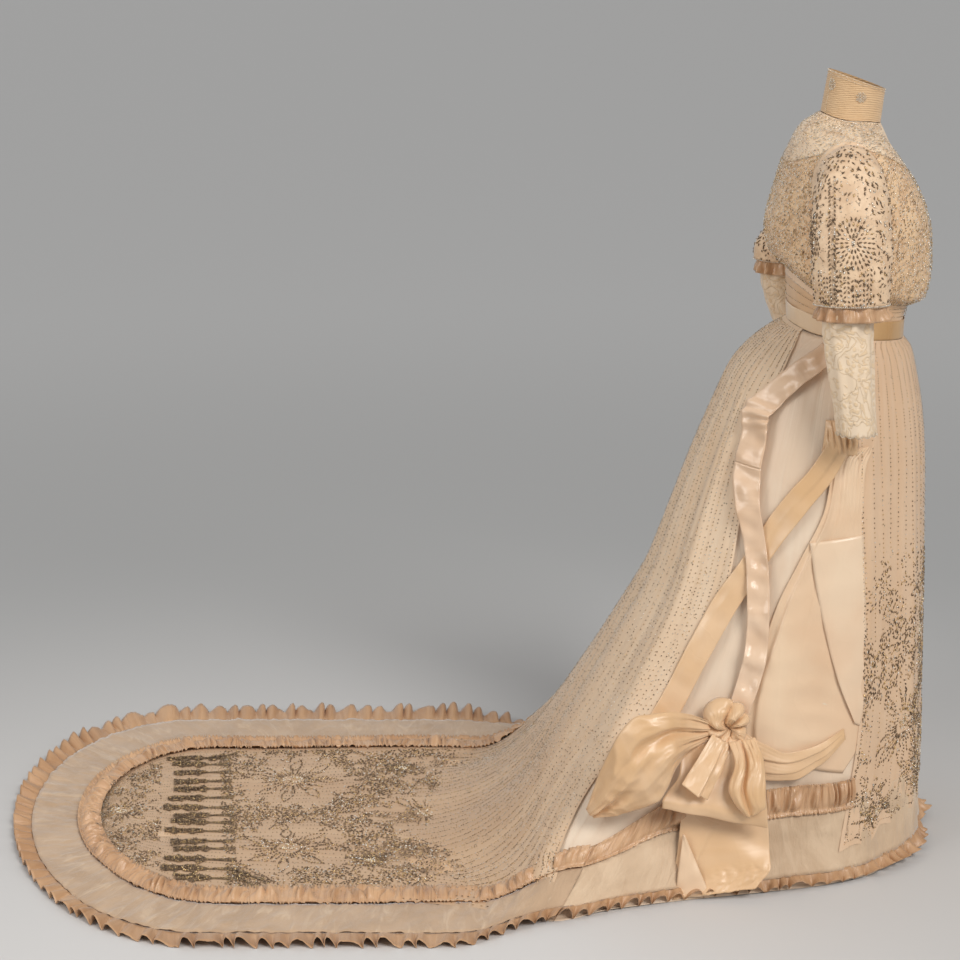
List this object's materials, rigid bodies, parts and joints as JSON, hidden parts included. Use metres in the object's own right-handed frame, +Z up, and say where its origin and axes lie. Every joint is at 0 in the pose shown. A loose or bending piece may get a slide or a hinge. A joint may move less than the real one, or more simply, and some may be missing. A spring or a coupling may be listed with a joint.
{
  "type": "wedding dress",
  "caption": "High-necked wedding dress with beaded net over satin, elbow caps over lace sleeves, a side bow and a long round-ended court train.",
  "frame": {"origin": "on the centre line between the shoulders, at the height where the shoulders carry the dress, 1360 mm above its hem", "axes": "+Z up, the front faces -Y, the train runs back along +Y, the wearer's right side is at -X"},
  "size_m": [1.14, 1.8135, 1.477],
  "materials": {
    "lace": "fine cotton lace over net, matt",
    "beaded_net": "silk net worked with glass and metal beads",
    "apricot_satin": "silk satin, soft sheen",
    "ivory_satin": "pale silk satin, soft sheen",
    "tulle": "tulle in layers over satin, matt",
    "taffeta": "crisp silk taffeta, bright folds",
    "white_ribbon": "pale satin ribbon, glossy",
    "dark_beads": "gunmetal bead strings"
  },
  "bodies": {
    "root": {"collar": "lace", "yoke_front": "beaded_net", "yoke_back": "beaded_net", "bodice_front": "beaded_net", "bodice_back": "beaded_net", "midriff": "apricot_satin", "upper_ribbon": "white_ribbon", "belt": "apricot_satin", "oversleeve_right": "beaded_net", "sleeve_frill_right": "apricot_satin", "undersleeve_right": "lace", "oversleeve_left": "beaded_net", "sleeve_frill_left": "apricot_satin", "undersleeve_left": "lace", "skirt_front": "ivory_satin", "skirt_right": "ivory_satin", "skirt_back": "ivory_satin", "skirt_left": "ivory_satin", "skirt_band": "tulle", "skirt_ruche_right": "apricot_satin", "skirt_ruche_left": "apricot_satin", "skirt_hem_frill": "apricot_satin", "overskirt_front": "beaded_net", "overskirt_back": "beaded_net", "train_satin": "apricot_satin", "train_net": "beaded_net", "train_ruche": "apricot_satin", "train_band": "tulle", "train_frill": "apricot_satin", "tassel_row": "dark_beads", "side_drape": "taffeta", "drape_head": "taffeta", "ribbon_upper": "white_ribbon", "ribbon_long": "white_ribbon", "ribbon_cross": "taffeta", "bow_knot": "taffeta", "bow_loop_large": "taffeta", "bow_loop_folded": "taffeta", "bow_fall_narrow": "taffeta", "bow_fall_wide": "taffeta", "bow_swag": "taffeta", "bow_tail": "taffeta"}
  },
  "joints": []
}
